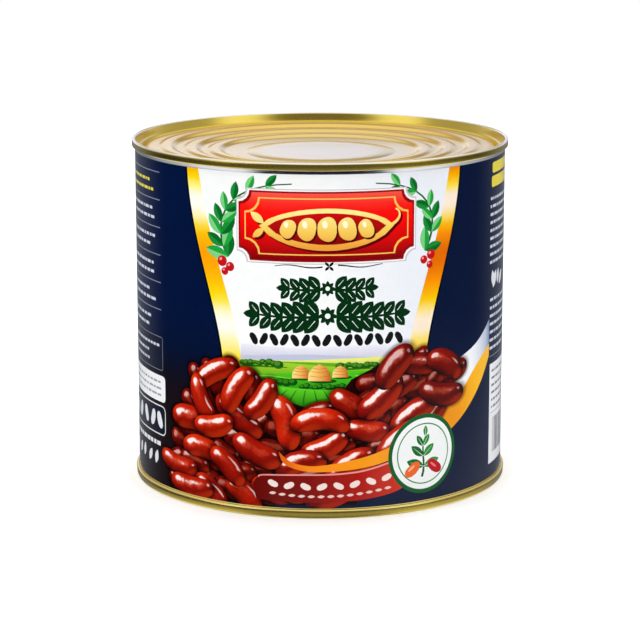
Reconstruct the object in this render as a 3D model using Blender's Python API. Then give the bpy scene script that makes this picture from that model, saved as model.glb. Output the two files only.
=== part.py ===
"""A shut catering tin of beans: a printed steel body between two gold-lacquered ends.

Metres, +Z up. The tin stands on the rim of its bottom end, on the plane z = 0, and
the origin is the centre of its base. Each end is a turned sheet: a rolled seam, a
chuck wall, a countersink and a dished panel with raised rings. The tin is shut, so
its body is one filled solid. Every piece is turned from a profile around +Z.
"""

import math

import bmesh
import bpy

# Driving dimensions of the whole tin
CAN_HEIGHT = 0.1430
SEAM_DIAMETER = 0.1570
BODY_DIAMETER = 0.1544

# The rolled seam that joins an end to the body
SEAM_HEIGHT = 0.0032
SEAM_THICKNESS = 0.00145
SEAM_CREST_WIDTH = 0.0005
SEAM_ROUNDING = 0.0007
SEAM_HEM_BEVEL = 0.0003

# The wall of the recess and the countersink at its foot, in depths below the rim
CHUCK_WALL_TAPER = 0.0007
CHUCK_STEP = 0.0005
COUNTERSINK_RADIUS = 0.0744
COUNTERSINK_DEPTH = 0.0050
COUNTERSINK_HALF_WIDTH = 0.0011

# The dished panel, its raised rings and its raised middle
PANEL_RADIUS = 0.0710
PANEL_DEPTH = 0.0033
PANEL_DISH = 0.0040
RING_RADII = (0.0638, 0.0535, 0.0437)
RING_HEIGHT = 0.0008
RING_HALF_FOOT = 0.0040
RING_HALF_CREST = 0.0018
MIDDLE_RADIUS = 0.0305
MIDDLE_FOOT_RADIUS = 0.0335
MIDDLE_HEIGHT = 0.0007
SHEET_THICKNESS = 0.0003

# Clearance between touching solids, the room under a panel, and the sides of a turned piece
GAP = 0.0003
ROOM_UNDER_PANEL = 0.0007
SIDES = 60
SMOOTH_ANGLE = math.radians(50.0)
WELD_DISTANCE = 1e-6

# Finishes: colour, metallic value, roughness
PRINTED_WALL = ((0.012, 0.030, 0.085, 1.0), 0.0, 0.28)
GOLD_LACQUER = ((0.62, 0.46, 0.14, 1.0), 1.0, 0.30)

SEAM_OUTER_RADIUS = SEAM_DIAMETER / 2
SEAM_INNER_RADIUS = SEAM_OUTER_RADIUS - SEAM_THICKNESS
CHUCK_WALL_FOOT = SEAM_INNER_RADIUS - CHUCK_WALL_TAPER


def clear_scene():
    """Remove every object of the open scene."""
    for item in list(bpy.data.objects):
        bpy.data.objects.remove(item, do_unlink=True)


def make_finish(name, colour, metallic, roughness):
    """A Principled material with one colour, metallic value and roughness."""
    material = bpy.data.materials.new(name)
    material.use_nodes = True
    shader = material.node_tree.nodes["Principled BSDF"]
    shader.inputs["Base Color"].default_value = colour
    shader.inputs["Metallic"].default_value = metallic
    shader.inputs["Roughness"].default_value = roughness
    material.diffuse_color = colour
    return material


def turn(name, profile, material):
    """Turn a profile of (radius, height) points, whose two ends lie on the axis, into a solid."""
    shape = bmesh.new()
    verts = [shape.verts.new((radius, 0.0, height)) for radius, height in profile]
    edges = [shape.edges.new(pair) for pair in zip(verts, verts[1:])]
    bmesh.ops.spin(shape, geom=verts + edges, cent=(0.0, 0.0, 0.0), axis=(0.0, 0.0, 1.0),
                   angle=math.tau, steps=SIDES, use_merge=True)
    bmesh.ops.remove_doubles(shape, verts=shape.verts[:], dist=WELD_DISTANCE)
    bmesh.ops.recalc_face_normals(shape, faces=shape.faces[:])
    mesh = bpy.data.meshes.new(name)
    shape.to_mesh(mesh)
    shape.free()
    mesh.shade_smooth()
    mesh.set_sharp_from_angle(angle=SMOOTH_ANGLE)
    mesh.materials.append(material)
    piece = bpy.data.objects.new(name, mesh)
    bpy.context.collection.objects.link(piece)
    return piece


def dish_depth(radius):
    """Depth of the panel between its rings: a shallow bowl, drawn in by the vacuum inside."""
    return PANEL_DEPTH + PANEL_DISH * (1.0 - (radius / PANEL_RADIUS) ** 2)


def panel_face():
    """The panel's outer face, from the axis to its edge: the middle, then the raised rings."""
    points = [
        (0.0, dish_depth(0.0) - MIDDLE_HEIGHT),
        (MIDDLE_RADIUS, dish_depth(MIDDLE_RADIUS) - MIDDLE_HEIGHT),
        (MIDDLE_FOOT_RADIUS, dish_depth(MIDDLE_FOOT_RADIUS)),
    ]
    for ring in reversed(RING_RADII):
        for offset, rise in ((-RING_HALF_FOOT, 0.0), (-RING_HALF_CREST, RING_HEIGHT),
                             (RING_HALF_CREST, RING_HEIGHT), (RING_HALF_FOOT, 0.0)):
            radius = ring + offset
            points.append((radius, dish_depth(radius) - rise))
    points.append((PANEL_RADIUS, PANEL_DEPTH))
    return points


def recess_wall():
    """From the panel's edge down through the countersink and up the chuck wall."""
    width = COUNTERSINK_HALF_WIDTH
    return [
        (PANEL_RADIUS + width, PANEL_DEPTH + 0.4 * width),
        (COUNTERSINK_RADIUS - width, COUNTERSINK_DEPTH - 0.3 * width),
        (COUNTERSINK_RADIUS, COUNTERSINK_DEPTH),
        (COUNTERSINK_RADIUS + width, COUNTERSINK_DEPTH - 0.4 * width),
        (CHUCK_WALL_FOOT - CHUCK_STEP, SEAM_HEIGHT + CHUCK_STEP),
        (CHUCK_WALL_FOOT, SEAM_HEIGHT - SEAM_HEM_BEVEL),
    ]


def seam_outside():
    """Over the seam's crest, which is flat enough to stand on, and down its outer face."""
    middle = (SEAM_OUTER_RADIUS + SEAM_INNER_RADIUS) / 2
    half_crest = SEAM_CREST_WIDTH / 2
    shoulder = SEAM_ROUNDING * 0.3
    return [
        (SEAM_INNER_RADIUS, SEAM_ROUNDING),
        (SEAM_INNER_RADIUS + shoulder / 2, shoulder),
        (middle - half_crest, 0.0),
        (middle + half_crest, 0.0),
        (SEAM_OUTER_RADIUS - shoulder, shoulder),
        (SEAM_OUTER_RADIUS, SEAM_ROUNDING),
        (SEAM_OUTER_RADIUS, SEAM_HEIGHT - SEAM_HEM_BEVEL),
        (SEAM_OUTER_RADIUS - SEAM_HEM_BEVEL, SEAM_HEIGHT),
    ]


def panel_underside():
    """The hidden face of an end: in from the seam's hem, round the countersink, to the axis."""
    width = COUNTERSINK_HALF_WIDTH
    sheet = SHEET_THICKNESS
    points = [
        (CHUCK_WALL_FOOT + sheet, SEAM_HEIGHT),
        (CHUCK_WALL_FOOT - CHUCK_STEP + sheet, SEAM_HEIGHT + CHUCK_STEP),
        (COUNTERSINK_RADIUS + width + sheet, COUNTERSINK_DEPTH - 0.2 * width),
        (COUNTERSINK_RADIUS, COUNTERSINK_DEPTH + sheet),
        (COUNTERSINK_RADIUS - width - sheet, COUNTERSINK_DEPTH),
    ]
    for radius in (PANEL_RADIUS, *RING_RADII, MIDDLE_RADIUS, 0.0):
        points.append((radius, dish_depth(radius) + sheet))
    return points


def make_end(name, level, material):
    """One end of the tin. level turns a depth below its rim into a height."""
    profile = panel_face() + recess_wall() + seam_outside() + panel_underside()
    return turn(name, [(radius, level(depth)) for radius, depth in profile], material)


def body_end_face():
    """The body's face under an end, from the axis to the wall: it clears the end's underside."""
    lip = CHUCK_WALL_FOOT + SHEET_THICKNESS + GAP / 2
    lip_foot = CHUCK_WALL_FOOT - CHUCK_STEP + SHEET_THICKNESS + GAP
    floor = COUNTERSINK_DEPTH + SHEET_THICKNESS + GAP
    below = SHEET_THICKNESS + ROOM_UNDER_PANEL
    outer_corner = COUNTERSINK_RADIUS + COUNTERSINK_HALF_WIDTH + SHEET_THICKNESS + GAP
    return [
        (0.0, dish_depth(0.0) + below),
        (RING_RADII[2], dish_depth(RING_RADII[2]) + below),
        (RING_RADII[1], max(dish_depth(RING_RADII[1]) + below, floor)),
        (COUNTERSINK_RADIUS, floor),
        (outer_corner, floor - GAP),
        (lip_foot, SEAM_HEIGHT + CHUCK_STEP + GAP),
        (lip, SEAM_HEIGHT + GAP),
        (BODY_DIAMETER / 2, SEAM_HEIGHT + GAP),
    ]


def make_body(name, material):
    """The filled body, from the recess of the bottom end to the recess of the top end."""
    lower = body_end_face()
    upper = [(radius, CAN_HEIGHT - depth) for radius, depth in reversed(lower)]
    return turn(name, lower + upper, material)


def main():
    clear_scene()
    wall = make_finish("printed_wall", *PRINTED_WALL)
    gold = make_finish("gold_lacquer", *GOLD_LACQUER)
    make_body("can_body", wall)
    make_end("top_end", lambda depth: CAN_HEIGHT - depth, gold)
    make_end("bottom_end", lambda depth: depth, gold)


main()
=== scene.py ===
"""The looks of a shut catering tin of beans: a lithographed steel wall between gold ends.

The printed sheet is drawn flat, in millimetres: the first number runs along the wall
and is 0 at the middle of the front, the second is the height above the base. The
overlapping shapes are cut into one layer of faces and wrapped round the tin.
"""

import math
import random

import bmesh
import bpy
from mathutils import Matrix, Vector
from mathutils.geometry import delaunay_2d_cdt


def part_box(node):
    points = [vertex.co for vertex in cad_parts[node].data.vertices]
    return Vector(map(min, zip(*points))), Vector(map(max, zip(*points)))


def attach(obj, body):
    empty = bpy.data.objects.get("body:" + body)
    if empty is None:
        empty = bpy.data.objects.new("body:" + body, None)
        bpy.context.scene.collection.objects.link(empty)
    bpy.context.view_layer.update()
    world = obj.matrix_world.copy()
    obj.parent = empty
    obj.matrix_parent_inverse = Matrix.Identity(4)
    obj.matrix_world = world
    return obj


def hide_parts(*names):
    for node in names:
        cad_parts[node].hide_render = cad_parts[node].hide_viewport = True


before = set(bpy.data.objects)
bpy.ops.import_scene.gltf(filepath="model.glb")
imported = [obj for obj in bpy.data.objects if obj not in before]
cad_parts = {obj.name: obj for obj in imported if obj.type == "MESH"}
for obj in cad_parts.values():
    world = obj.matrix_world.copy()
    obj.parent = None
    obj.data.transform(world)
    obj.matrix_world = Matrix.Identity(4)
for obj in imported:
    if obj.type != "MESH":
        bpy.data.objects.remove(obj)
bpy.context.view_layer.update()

MM = 0.001
TAU = math.tau

# Sizes read from the frame, in millimetres
WALL_RADIUS = (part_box("can_body")[1] / MM)[0]
SEAM_RADIUS, _, CAN_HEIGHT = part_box("top_end")[1] / MM

# The rolled seam and the recess inside it, in millimetres; depths are from the rim
SEAM_HEIGHT = 3.2
SEAM_THICKNESS = 1.45
COUNTERSINK_RADIUS = 74.4
COUNTERSINK_DEPTH = 5.0
PANEL_RADIUS = 71.0
PANEL_DEPTH = 3.3
PANEL_DISH = 4.0
RING_RADII = (63.8, 53.5, 43.7)
RING_HEIGHT = 0.8
MIDDLE_HEIGHT = 0.7
SHEET = 0.3
TOP_STEPS = 300
BOTTOM_STEPS = 150

# The bottom seam is drawn in toward its crest, and its hem is higher and rounder than the top one's
TOP_HEM_ROUND = 0.6
BOTTOM_TAPER = 0.13
BOTTOM_HEM = SEAM_HEIGHT + 0.45
BOTTOM_HEM_ROUND = 0.95

# The printed sheet
PRINT_LOW = 3.9
PRINT_HIGH = 138.4
PRINT_PROUD = 0.04
HALF_TURN = math.pi * WALL_RADIUS
FOLDS = 60
FOLD = HALF_TURN / FOLDS
ROWS = 36
WELD_MARGIN = 2.6
FRONT_ANGLE = math.radians(1.5)


def ink(red, green, blue):
    """Linear colour of an ink that is seen as these values from 0 to 255."""
    shares = [value / 255 for value in (red, green, blue)]
    return tuple(((v + 0.055) / 1.055) ** 2.4 if v > 0.04 else v / 12.92 for v in shares)


NAVY = ink(7, 22, 55)
NEAR_BLACK = ink(2, 4, 18)
PANEL_WHITE = ink(248, 250, 251)
# Painted shade: the panel's white is drawn cooler and slightly darker toward its right side
PANEL_WHITE_SHADE_RIGHT = ink(237, 241, 250)
DARK_GREEN = ink(4, 48, 20)
LEAF_GREEN = ink(24, 128, 44)
CHARCOAL = ink(20, 24, 26)
RULE_GREY = ink(128, 134, 150)
PALE_INK = ink(226, 229, 236)
DASH_INK = ink(204, 209, 224)
YELLOW_INK = ink(232, 214, 60)


def mixed(first, second, share):
    """A colour between two others."""
    share = min(max(share, 0.0), 1.0)
    return tuple(a + (b - a) * share for a, b in zip(first, second))


def graded(stops, axis):
    """A colour that changes with place: stops are (millimetres, colour) along axis 0 or 1."""
    def colour(place):
        at = place[axis]
        if at <= stops[0][0]:
            return stops[0][1]
        for (low, first), (high, second) in zip(stops, stops[1:]):
            if at <= high:
                return mixed(first, second, (at - low) / (high - low))
        return stops[-1][1]
    return colour


# Outlines on the flat sheet

def bezier(start, pull_a, pull_b, end, count):
    """Points on a cubic curve, both ends included."""
    points = []
    for step in range(count + 1):
        t = step / count
        weights = ((1 - t) ** 3, 3 * t * (1 - t) ** 2, 3 * t * t * (1 - t), t ** 3)
        points.append(tuple(sum(w * p[axis] for w, p in zip(weights, (start, pull_a, pull_b, end)))
                            for axis in (0, 1)))
    return points


def smooth_line(points, count=5):
    """A Catmull-Rom curve through the points."""
    ends = [points[0]] + list(points) + [points[-1]]
    line = []
    for a, b, c, d in zip(ends, ends[1:], ends[2:], ends[3:]):
        for step in range(count):
            t = step / count
            line.append(tuple(0.5 * (2 * q + (r - p) * t + (2 * p - 5 * q + 4 * r - s) * t * t
                                     + (3 * q - p - 3 * r + s) * t ** 3)
                              for p, q, r, s in zip(a, b, c, d)))
    return line + [points[-1]]


def ellipse(centre, half_length, half_width, angle=0.0, count=20):
    """An ellipse whose long axis is turned by angle."""
    return [place_at(centre, angle, half_length * math.cos(TAU * k / count),
                     half_width * math.sin(TAU * k / count)) for k in range(count)]


def place_at(centre, angle, along, across):
    """A point given along and across a turned axis through centre."""
    return (centre[0] + along * math.cos(angle) - across * math.sin(angle),
            centre[1] + along * math.sin(angle) + across * math.cos(angle))


def rectangle(left, right, low, high):
    return [(left, low), (right, low), (right, high), (left, high)]


def rounded_rectangle(left, right, low, high, radius, scoop=False):
    """A rectangle with round corners, or with corners scooped out."""
    points = []
    corners = ((right, low, -1, 1), (right, high, -1, -1), (left, high, 1, -1), (left, low, 1, 1))
    for index, (x, y, side, up) in enumerate(corners):
        for step in range(5):
            turn = math.radians(22.5 * step)
            if scoop:
                arm = math.radians(180 + 90 * index) - turn
                points.append((x + radius * math.cos(arm), y + radius * math.sin(arm)))
            else:
                arm = math.radians(270 + 90 * index) + turn
                points.append((x + side * radius + radius * math.cos(arm),
                               y + up * radius + radius * math.sin(arm)))
    return points


def leaf(foot, angle, length, width, count=6):
    """A pointed leaf that grows from its foot along angle."""
    sides = []
    for side in (-1, 1):
        sides.append([place_at(foot, angle, length * k / count,
                               side * width / 2 * math.sin(math.pi * k / count) ** 0.8)
                      for k in range(1, count)])
    tip = place_at(foot, angle, length, 0.0)
    return [foot] + sides[0] + [tip] + sides[1][::-1]


def ribbon(line, start_width, end_width=None):
    """A strip of changing width along a line."""
    end_width = start_width if end_width is None else end_width
    last = len(line) - 1
    sides = ([], [])
    for index, point in enumerate(line):
        before, after = line[max(index - 1, 0)], line[min(index + 1, last)]
        angle = math.atan2(after[1] - before[1], after[0] - before[0])
        half = (start_width + (end_width - start_width) * index / last) / 2
        sides[0].append(place_at(point, angle, 0.0, -half))
        sides[1].append(place_at(point, angle, 0.0, half))
    return sides[0] + sides[1][::-1]


# Kidney beans. A bean's own axes are in shares of its half length, and its middle line is an arc:
# its bend is the angle, in radians, that this line turns through in one half length.
BEAN_ROUND_ALONG = 2.7
BEAN_ROUND_ACROSS = 2.15
HALO_REACH = 1.34
NO_BEAN = (9.0, 9.0, 1.0, 0.5)


def bean(centre, length, width, angle, bend, tone=1.0, warmth=0.5):
    """What a drawn bean is: its place, size, turn in degrees, bend and colour."""
    return {"centre": centre, "length": length / 2, "slim": width / length,
            "angle": math.radians(angle), "bend": bend, "tone": tone, "warmth": warmth}


def bean_outline(item, reach=1.0, count=30):
    """The kidney outline of a bean, or one that reaches past it."""
    bend = item["bend"]
    points = []
    for step in range(count):
        cosine, sine = math.cos(TAU * step / count), math.sin(TAU * step / count)
        along = math.copysign(abs(cosine) ** (2 / BEAN_ROUND_ALONG), cosine) * reach
        across = math.copysign(abs(sine) ** (2 / BEAN_ROUND_ACROSS), sine) * reach * item["slim"]
        radius = 1 / bend - across
        points.append(place_at(item["centre"], item["angle"],
                               radius * math.sin(along * bend) * item["length"],
                               (1 / bend - radius * math.cos(along * bend)) * item["length"]))
    return points


def on_bean(item, place):
    """A place on the sheet in a bean's own axes, with its bend and slenderness."""
    dx, dy = place[0] - item["centre"][0], place[1] - item["centre"][1]
    cosine, sine = math.cos(item["angle"]), math.sin(item["angle"])
    return ((dx * cosine + dy * sine) / item["length"], (dy * cosine - dx * sine) / item["length"],
            item["bend"], item["slim"])


def bean_reach(item, place):
    """1 on a bean's outline, less inside it and more outside."""
    x, y, bend, slim = on_bean(item, place)
    side = math.copysign(1.0, bend)
    depth = 1 / bend - y
    along = math.atan2(x * side, depth * side) / bend
    across = (1 / bend - side * math.hypot(x, depth)) / slim
    return (abs(along) ** BEAN_ROUND_ALONG + abs(across) ** BEAN_ROUND_ACROSS) ** 0.42


# The sheet is a list of shapes, each lying over the ones before it

def lay(sheet, outline, colour):
    """A field of one colour, or of a colour that changes with place."""
    sheet.append({"outline": outline, "colour": colour, "bean": None, "halo": False})


def lay_bean(sheet, item):
    """A modelled bean, with the soft shade that it casts on what lies under it."""
    sheet.append({"outline": bean_outline(item, HALO_REACH, 22), "colour": None, "bean": item,
                  "halo": True})
    sheet.append({"outline": bean_outline(item), "colour": None, "bean": item, "halo": False})


def panel_side(inner):
    """The flared side of the white front panel, or of the gold band outside it."""
    if inner:
        return bezier((33.8, 60), (35.2, 82), (47.5, 104), (53.8, PRINT_HIGH), 22)
    return bezier((42.2, 60), (44.0, 84), (58.5, 112), (59.8, PRINT_HIGH), 22)


def both_sides(side, grow=0.0):
    """The outline between a side and its mirror image."""
    right = [(x + grow, y) for x, y in side]
    return right + [(-x, y) for x, y in right[::-1]]


GOLD_FADE = [
    (61, ink(246, 212, 36)), (65, ink(248, 228, 70)), (71.5, ink(251, 245, 186)), (75, ink(252, 250, 238)),
    (80.5, ink(252, 250, 238)), (84, ink(250, 240, 136)), (87, ink(250, 226, 14)), (93, ink(252, 194, 2)),
    (99.5, ink(251, 166, 2)), (106, ink(250, 158, 2)), (112, ink(250, 186, 4)), (115, ink(250, 208, 6)),
    (118, ink(250, 236, 116)), (122, ink(254, 251, 240)), (128.5, ink(254, 251, 242)),
    (131, ink(252, 244, 140)), (134, ink(253, 222, 8)), (PRINT_HIGH, ink(252, 186, 4)),
]
# How the right gold band is darkened: painted shade on the tin's right side
RIGHT_GOLD_SHADE_DEPTH = 1.75
RIGHT_GOLD_SHADE_LEVEL = 0.9
RIGHT_GOLD_SHADE_RED = (0.62, 1.3)


def gold_ink(place):
    """The gold bands' colour: it fades with height, and the right band is a deeper orange as painted shade.
    """
    red, green, blue = graded(GOLD_FADE, 1)(place)
    if place[0] > 0:
        green = RIGHT_GOLD_SHADE_LEVEL * green ** RIGHT_GOLD_SHADE_DEPTH
        red *= min(1.0, RIGHT_GOLD_SHADE_RED[0] + RIGHT_GOLD_SHADE_RED[1] * green)
        blue *= RIGHT_GOLD_SHADE_LEVEL * blue
    return red, green, blue


def draw_front_panel(sheet):
    """The white panel between two flared gold bands, each with a dark line outside it."""
    lay(sheet, both_sides(panel_side(False), 0.8), NEAR_BLACK)
    lay(sheet, both_sides(panel_side(False)), gold_ink)
    # The white panel darkens toward the right: painted shade
    lay(sheet, both_sides(panel_side(True)), graded([(-6, PANEL_WHITE), (36, PANEL_WHITE_SHADE_RIGHT)], 0))
    lay(sheet, rectangle(-33.6, 33.6, 44, 62), PANEL_WHITE)


def draw_hill(sheet, top, sway, wave, phase, colour):
    """A rounded hill across the white panel, from its skyline down to behind the beans."""
    half = 34.4
    steps = 24
    line = []
    for step in range(steps + 1):
        x = half - 2 * half * step / steps
        line.append((x, top + sway * math.sin(x / wave + phase)))
    lay(sheet, [(-half, 45.0), (half, 45.0)] + line, colour)


def draw_bush(sheet, x, y, size, dark, light):
    """A round bush with a lighter upper side."""
    lay(sheet, ellipse((x, y), size * 1.15, size * 0.9, count=12), dark)
    lay(sheet, ellipse((x - 0.25 * size, y + 0.25 * size), size * 0.7, size * 0.5, count=10), light)


def draw_haystack(sheet, x, y, size):
    """A round-topped haystack with a shaded side and a few straw bands."""
    side = [(x - size, y), (x + size, y), (x + size * 0.94, y + size * 0.7),
            (x + size * 0.55, y + size * 1.25), (x, y + size * 1.5),
            (x - size * 0.55, y + size * 1.25), (x - size * 0.94, y + size * 0.7)]
    lay(sheet, ellipse((x + 0.3 * size, y), size * 1.2, size * 0.22, count=12), ink(16, 78, 12))
    lay(sheet, side, graded([(x - size, ink(250, 226, 140)), (x, ink(238, 178, 84)),
                             (x + size, ink(190, 84, 32))], 0))
    for share in (0.45, 0.85, 1.15):
        half = size * (1.0 - 0.34 * share)
        lay(sheet, ribbon([(x - half, y + size * share), (x, y + size * (share - 0.1)),
                           (x + half, y + size * share)], 0.18), ink(206, 92, 34))


def draw_fields(sheet, rng):
    """Plain rolling fields under a pale sky, with hedges, haystacks and rows of crops."""
    draw_hill(sheet, 70.0, 0.3, 9.0, 0.4,
              graded([(62, ink(240, 238, 222)), (66, ink(206, 203, 226)), (69, ink(236, 238, 248))], 1))
    draw_hill(sheet, 66.0, 0.9, 11.0, 2.2, ink(190, 196, 222))
    draw_hill(sheet, 64.6, 0.7, 16.0, 0.6, graded([(60, ink(150, 200, 30)), (65, ink(238, 240, 130))], 1))
    draw_hill(sheet, 63.2, 0.7, 14.0, 2.4, ink(98, 172, 34))
    draw_hill(sheet, 62.6, 0.9, 12.0, 3.4, graded([(55, ink(44, 150, 14)), (63, ink(158, 208, 46))], 1))
    for start, end, base in ((-33.5, -17.0, 62.8), (6.0, 21.0, 62.2)):
        x = start
        while x < end:
            size = rng.uniform(0.9, 1.9)
            draw_bush(sheet, x, base + rng.uniform(-0.4, 0.7), size, ink(26, 84, 18), ink(72, 136, 30))
            x += size * 1.2
    for x, tall in ((26.5, 5.4), (28.4, 6.6), (30.2, 5.8), (31.8, 4.6)):
        lay(sheet, leaf((x, 61.6), math.radians(90), tall, 1.7), ink(30, 92, 26))
    for start, end, height in ((-33.5, -15.0, 61.5), (5.0, 22.0, 60.9)):
        lay(sheet, ribbon([(start, height), (end, height)], 1.0, 0.3), ink(34, 112, 16))
    draw_hill(sheet, 59.0, 1.3, 15.0, 1.2, graded([(50, ink(20, 130, 8)), (60, ink(74, 200, 30))], 1))
    lay(sheet, ribbon([(-33, 57.2), (-22, 57.9), (-13, 57.0)], 0.5, 0.2), ink(150, 222, 60))
    lay(sheet, ribbon([(12, 58.2), (22, 57.3), (33, 57.9)], 0.5, 0.2), ink(150, 222, 60))
    for x, y, size in ((-9.5, 57.2, 3.6), (-2.2, 56.2, 4.6), (6.0, 57.6, 3.2)):
        draw_haystack(sheet, x, y, size)
    x = -33.0
    while x < -12.0:
        size = rng.uniform(1.0, 2.0)
        draw_bush(sheet, x, 55.6 + rng.uniform(-0.5, 0.5), size, ink(12, 78, 12), ink(44, 128, 22))
        x += size * 1.3
    for index in range(12):
        size = 1.15 + 0.35 * math.sin(2.3 * index)
        draw_bush(sheet, -9.0 + 1.75 * index, 53.9 + 0.3 * math.sin(1.7 * index), size,
                  ink(10, 76, 12), ink(48, 138, 24))
    draw_hill(sheet, 53.6, 1.0, 13.0, 4.4, graded([(46, ink(20, 118, 8)), (54, ink(96, 214, 40))], 1))
    for row in range(9):
        x = -26.0 + 6.0 * row
        lay(sheet, ribbon([(x * 0.6 - 3, 52.4), (x * 0.8 - 2, 49.5), (x * 1.1, 45.0)], 0.25, 0.9),
            ink(30, 116, 14))


def pod_outline(middle, half_length, half_height, count=14):
    """A long pod with pointed ends, its lower side fuller than its upper one."""
    low, high = [], []
    for step in range(1, count):
        share = -1 + 2 * step / count
        swell = (1 - share * share) ** 0.72
        low.append((middle[0] + share * half_length, middle[1] - half_height * swell))
        high.append((middle[0] + share * half_length, middle[1] + half_height * 0.78 * swell))
    ends = [(middle[0] + side * half_length, middle[1]) for side in (-1, 1)]
    return ends[:1] + low + ends[1:] + high[::-1]


def draw_plaque(sheet):
    """A red plaque with scooped corners and an open yellow pod with five beans in it."""
    red = graded([(104, ink(104, 2, 8)), (110, ink(196, 5, 8)), (120, ink(251, 6, 6)),
                  (126, ink(251, 20, 14)), (131, ink(248, 86, 72))], 1)
    middle, half_width, half_height = (0.8, 117.8), 35.0, 13.2
    for grow, colour in ((1.6, ink(206, 196, 204)), (1.2, PANEL_WHITE), (0.7, ink(150, 8, 14)),
                         (0.0, red), (-1.9, ink(250, 196, 92)), (-2.4, red)):
        lay(sheet, rounded_rectangle(middle[0] - half_width - grow, middle[0] + half_width + grow,
                                     middle[1] - half_height - grow, middle[1] + half_height + grow,
                                     5.0 - grow * 0.4, scoop=True), colour)
    yellow = graded([(110, ink(240, 160, 58)), (116, ink(247, 204, 92)), (124, ink(255, 240, 150))], 1)
    slit = graded([(110, ink(120, 4, 8)), (124, ink(206, 8, 10))], 1)
    for drop, outer, inner in ((-0.9, ink(92, 2, 8), ink(92, 2, 8)), (0.0, yellow, slit)):
        at = (middle[0] - drop, middle[1] + drop)
        lay(sheet, leaf((at[0] - 25, at[1] + 1.0), math.radians(142), 7.0, 3.2), outer)
        lay(sheet, leaf((at[0] - 25, at[1] - 1.0), math.radians(218), 6.0, 2.8), outer)
        lay(sheet, ribbon(bezier((at[0] + 25, at[1]), (at[0] + 29, at[1] + 1), (at[0] + 31, at[1] + 5),
                                 (at[0] + 27.5, at[1] + 6.5), 8), 1.3, 0.5), outer)
        lay(sheet, pod_outline(at, 27.0, 9.4), outer)
        lay(sheet, pod_outline(at, 23.6, 7.0), inner)
    for index, x in enumerate((-15.4, -7.9, 0.0, 7.9, 15.4)):
        size = (0.78, 0.94, 1.0, 0.94, 0.78)[index]
        shape = bean((middle[0] + x, middle[1] - 0.9), 9.6 * size, 7.6 * size, 90 + 12 * (index - 2), 0.3)
        lay(sheet, bean_outline(dict(shape, centre=(shape["centre"][0] + 0.5, shape["centre"][1] - 0.6)),
                                1.04, 20), ink(84, 2, 8))
        lay(sheet, bean_outline(shape, 1.0, 22), yellow)
        lay(sheet, ellipse((middle[0] + x - 0.9 * size, middle[1] + 1.0 * size), 1.1 * size, 1.6 * size,
                           0.2, 12), ink(255, 250, 214))


def draw_spray(sheet, line, leaves, length, rng):
    """A leafy twig along a line, dark and light green by turns."""
    lay(sheet, ribbon(line, 1.1, 0.5), ink(10, 96, 30))
    last = len(line) - 1
    for index in range(leaves):
        at = (index + 0.4) / leaves * last
        low = int(at)
        foot = line[low]
        after = line[min(low + 1, last)]
        along = math.atan2(after[1] - foot[1], after[0] - foot[0])
        for side in (-1, 1):
            size = length * (1.0 - 0.4 * index / leaves) * rng.uniform(0.92, 1.08)
            angle = along + side * math.radians(rng.uniform(30, 44))
            shade = (index + (side > 0)) % 2
            lay(sheet, leaf(foot, angle, size, size * 0.46), (ink(6, 104, 36), ink(34, 160, 62))[shade])
            half = [place_at(foot, angle, size * share, size * 0.23 * math.sin(math.pi * share) ** 0.8)
                    for share in (0.12, 0.3, 0.5, 0.7, 0.88)]
            lay(sheet, [foot] + [place_at(foot, angle, size, 0.0)] + half[::-1],
                (ink(24, 138, 54), ink(120, 208, 130))[shade])


def draw_fruits(sheet, places):
    """Small round red fruits, each with a light spot."""
    for x, y, radius in places:
        lay(sheet, ellipse((x, y), radius, radius, count=16), ink(196, 14, 26))
        lay(sheet, ellipse((x - radius * 0.3, y + radius * 0.35), radius * 0.34, radius * 0.26, 0.6, 8),
            ink(252, 150, 140))


def draw_sprays(sheet, rng):
    """Green twigs at the plaque's upper corners, and red fruits at its lower ones."""
    left = bezier((-39.5, 104.5), (-46.5, 114), (-45.0, 133.8), (-13.0, 134.6), 16)
    right = bezier((41.5, 106.5), (48.5, 116), (47.5, 133.6), (20.0, 134.6), 14)
    draw_spray(sheet, left, 8, 10.4, rng)
    draw_spray(sheet, right, 6, 9.0, rng)
    draw_fruits(sheet, ((-42.4, 102.6, 2.2), (-38.8, 100.6, 1.9), (-41.2, 98.6, 1.6),
                        (44.6, 104.6, 2.0), (41.2, 102.8, 1.7), (44.0, 100.6, 1.5)))


def draw_garland(sheet, middle, half_length, pairs, length, colour):
    """A garland: pairs of leaves that grow both ways from a small rosette."""
    for side in (-1, 1):
        line = [(middle[0] + side * half_length * step / 8,
                 middle[1] - 0.7 * math.sin(math.pi * step / 8)) for step in range(9)]
        lay(sheet, ribbon(line, 1.4, 0.8), colour)
        for index in range(pairs):
            share = (index + 0.75) / pairs
            foot = (middle[0] + side * half_length * share, middle[1] - 0.7 * math.sin(math.pi * share))
            size = length * (1.08 - 0.30 * share)
            for up in (-1, 1):
                angle = math.radians(90 - side * 90 + side * up * 50)
                lay(sheet, leaf(foot, angle, size, size * 0.60, 8), colour)
                lay(sheet, ribbon([place_at(foot, angle, size * 0.25, 0.0),
                                   place_at(foot, angle, size * 0.72, 0.0)], 0.30, 0.12), PANEL_WHITE)
        tip = (middle[0] + side * (half_length - 1.0), middle[1])
        lay(sheet, leaf(tip, math.radians(90 - side * 90), length * 0.8, length * 0.40), colour)
    for turn in range(0, 360, 45):
        lay(sheet, leaf(middle, math.radians(turn), length * 0.46, length * 0.24), colour)
    lay(sheet, ellipse(middle, length * 0.13, length * 0.13, count=12), PANEL_WHITE)


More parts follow.
